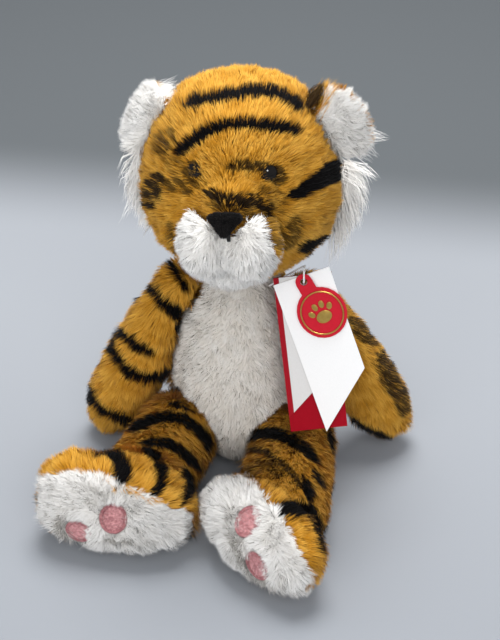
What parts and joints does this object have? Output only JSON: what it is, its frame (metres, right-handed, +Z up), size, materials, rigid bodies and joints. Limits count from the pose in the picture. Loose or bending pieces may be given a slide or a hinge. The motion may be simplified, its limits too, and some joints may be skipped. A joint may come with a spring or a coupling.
{
  "type": "plush toy tiger",
  "caption": "Sitting plush tiger with striped orange pile, white belly, muzzle, ears and soles, soft jointed head and limbs, and a fanned swing tag.",
  "frame": {"origin": "on the floor under the middle of the seat", "axes": "+Z up; the toy faces -Y, and its own left side is at +X"},
  "size_m": [0.163, 0.2268, 0.195],
  "materials": {
    "black_eye_plastic": "polished",
    "black_nose_plush": "velvet",
    "clear_nylon": "clear thread",
    "orange_plush": "short brushed pile",
    "pellet_bag_cloth": "woven",
    "pink_embroidery": "satin stitch",
    "polyester_stuffing": "loose fibre",
    "red_card": "matt card",
    "red_seal_card": "gloss card",
    "washer_plastic": "moulded",
    "white_card": "matt card",
    "white_plush": "short brushed pile"
  },
  "bodies": {
    "torso": {"body_skin": "orange_plush", "belly_panel": "white_plush", "body_stuffing": "polyester_stuffing", "pellet_bag": "pellet_bag_cloth", "tag_loop": "clear_nylon"},
    "head": {"head_skin": "orange_plush", "head_stuffing": "polyester_stuffing", "muzzle": "white_plush", "nose": "black_nose_plush", "left_eye": "black_eye_plastic", "right_eye": "black_eye_plastic", "left_eye_washer": "washer_plastic", "right_eye_washer": "washer_plastic", "left_cheek_tuft": "white_plush", "right_cheek_tuft": "white_plush"},
    "left_arm": {"left_arm_skin": "orange_plush", "left_arm_stuffing": "polyester_stuffing"},
    "left_leg": {"left_leg_skin": "orange_plush", "left_leg_stuffing": "polyester_stuffing", "left_sole": "white_plush", "left_upper_pad": "pink_embroidery", "left_lower_pad": "pink_embroidery"},
    "left_ear": {"left_ear_front": "white_plush", "left_ear_back": "orange_plush"},
    "right_arm": {"right_arm_skin": "orange_plush", "right_arm_stuffing": "polyester_stuffing"},
    "right_leg": {"right_leg_skin": "orange_plush", "right_leg_stuffing": "polyester_stuffing", "right_sole": "white_plush", "right_upper_pad": "pink_embroidery", "right_lower_pad": "pink_embroidery"},
    "right_ear": {"right_ear_front": "white_plush", "right_ear_back": "orange_plush"},
    "tail": {"tail": "orange_plush"},
    "tag": {"tag_back_card": "red_card", "tag_inner_page": "white_card"},
    "tag_front": {"tag_front_card": "white_card"},
    "tag_medal": {"tag_seal": "red_seal_card"}
  },
  "joints": [
    {"name": "neck_turn", "type": "hinge", "parent": "torso", "child": "head", "pos_m": [0, 0, 0.092], "axis": [0, 0, 1], "range_deg": [-30, 30]},
    {"name": "left_shoulder_raise", "type": "hinge", "parent": "torso", "child": "left_arm", "pos_m": [0.029, -0.003, 0.0885], "axis": [0, -1, 0], "range_deg": [0, 60]},
    {"name": "left_hip_drop", "type": "hinge", "parent": "torso", "child": "left_leg", "pos_m": [0.028, -0.026, 0.0198], "axis": [1, 0, 0], "range_deg": [0, 70]},
    {"name": "left_ear_fold", "type": "hinge", "parent": "head", "child": "left_ear", "pos_m": [0.03755, -0.00637, 0.17418], "axis": [0.5441, 0.0238, -0.8387], "range_deg": [-20, 20]},
    {"name": "right_shoulder_raise", "type": "hinge", "parent": "torso", "child": "right_arm", "pos_m": [-0.029, -0.003, 0.0885], "axis": [0, 1, 0], "range_deg": [0, 60]},
    {"name": "right_hip_drop", "type": "hinge", "parent": "torso", "child": "right_leg", "pos_m": [-0.028, -0.026, 0.0198], "axis": [1, 0, 0], "range_deg": [0, 70]},
    {"name": "right_ear_fold", "type": "hinge", "parent": "head", "child": "right_ear", "pos_m": [-0.03845, -0.00969, 0.17153], "axis": [-0.4843, -0.0211, -0.8746], "range_deg": [-20, 5]},
    {"name": "tail_swing", "type": "hinge", "parent": "torso", "child": "tail", "pos_m": [0, 0.037, 0.016], "axis": [0, 0, 1], "range_deg": [-35, 35]},
    {"name": "tag_swing", "type": "hinge", "parent": "torso", "child": "tag", "pos_m": [0.0303, -0.0232, 0.109], "axis": [0.1324, -0.9418, 0.309], "range_deg": [-4, 8]},
    {"name": "front_card_fan", "type": "hinge", "parent": "tag", "child": "tag_front", "pos_m": [0.0303, -0.0232, 0.109], "axis": [0.1324, -0.9418, 0.309], "range_deg": [-14, 8]},
    {"name": "seal_swing", "type": "hinge", "parent": "tag", "child": "tag_medal", "pos_m": [0.0303, -0.0232, 0.109], "axis": [0.1324, -0.9418, 0.309], "range_deg": [-40, 15]}
  ]
}
